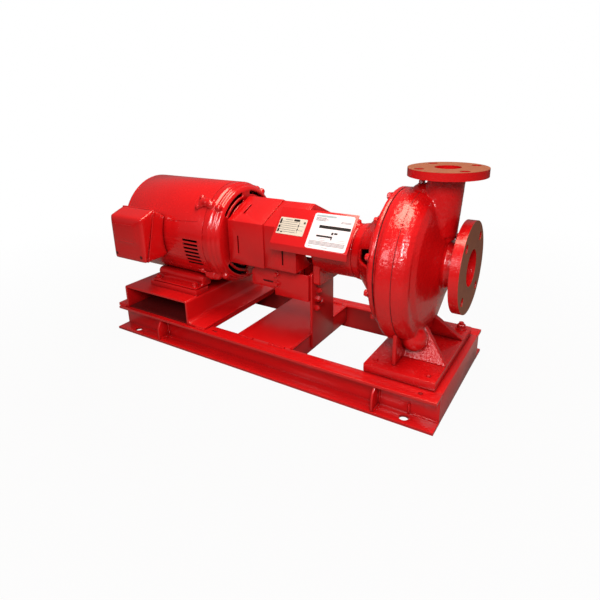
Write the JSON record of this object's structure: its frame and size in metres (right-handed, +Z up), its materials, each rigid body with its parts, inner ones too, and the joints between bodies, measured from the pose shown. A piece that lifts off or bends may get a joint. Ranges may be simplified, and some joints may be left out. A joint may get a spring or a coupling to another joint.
{
  "type": "base-mounted end suction pump",
  "caption": "End suction water pump and electric motor on a folded steel base, with a flexible coupling under a sheet guard and a flanged volute casing.",
  "frame": {"origin": "centre of the four anchor holes, on the underside of the base", "axes": "+X along the shaft towards the suction flange, +Y across the base away from the sign side, +Z up"},
  "size_m": [0.9152, 0.389, 0.471],
  "materials": {
    "base_paint": "gloss red paint on rolled steel",
    "motor_paint": "gloss red paint on pressed steel",
    "motor_cast": "gloss red paint on cast iron",
    "guard_paint": "gloss red paint on thin sheet",
    "pump_cast": "gloss red paint on cast iron",
    "impeller_metal": "cast bronze",
    "shaft_steel": "ground steel",
    "hub_iron": "dark cast iron",
    "insert_rubber": "black rubber",
    "label_film": "white printed film"
  },
  "bodies": {
    "root": {"rail_near": "base_paint", "rail_far": "base_paint", "end_channel_motor": "base_paint", "end_channel_pump": "base_paint", "mid_member": "base_paint", "stand_bar": "base_paint", "gusset_near_motor": "base_paint", "gusset_near_pump": "base_paint", "gusset_far_motor": "base_paint", "gusset_far_pump": "base_paint", "pump_deck": "base_paint", "motor_stand": "base_paint", "motor_pad_near": "base_paint", "motor_pad_far": "base_paint", "motor_foot_near": "motor_paint", "motor_foot_far": "motor_paint", "motor_frame": "motor_paint", "motor_front_shield": "motor_cast", "motor_rear_shield": "motor_cast", "terminal_box_base": "motor_paint", "terminal_box_cover": "motor_paint", "motor_shaft": "shaft_steel", "pump_shaft": "shaft_steel", "coupling_hub_motor": "hub_iron", "coupling_hub_pump": "hub_iron", "coupling_insert": "insert_rubber", "guard_motor_half": "guard_paint", "guard_pump_half": "guard_paint", "guard_arm": "guard_paint", "guard_arm_bracket": "guard_paint", "bearing_post": "base_paint", "bearing_frame": "pump_cast", "bearing_cap": "pump_cast", "adapter_bell": "pump_cast", "casing_cover": "pump_cast", "volute_casing": "pump_cast", "impeller": "impeller_metal", "casing_saddle": "pump_cast", "sign_plate": "guard_paint", "sign_label_small": "label_film", "sign_label_large": "label_film", "sign_stay_left": "guard_paint", "sign_stay_right": "guard_paint", "casing_top_plug": "pump_cast", "suction_gauge_plug": "pump_cast"}
  },
  "joints": []
}
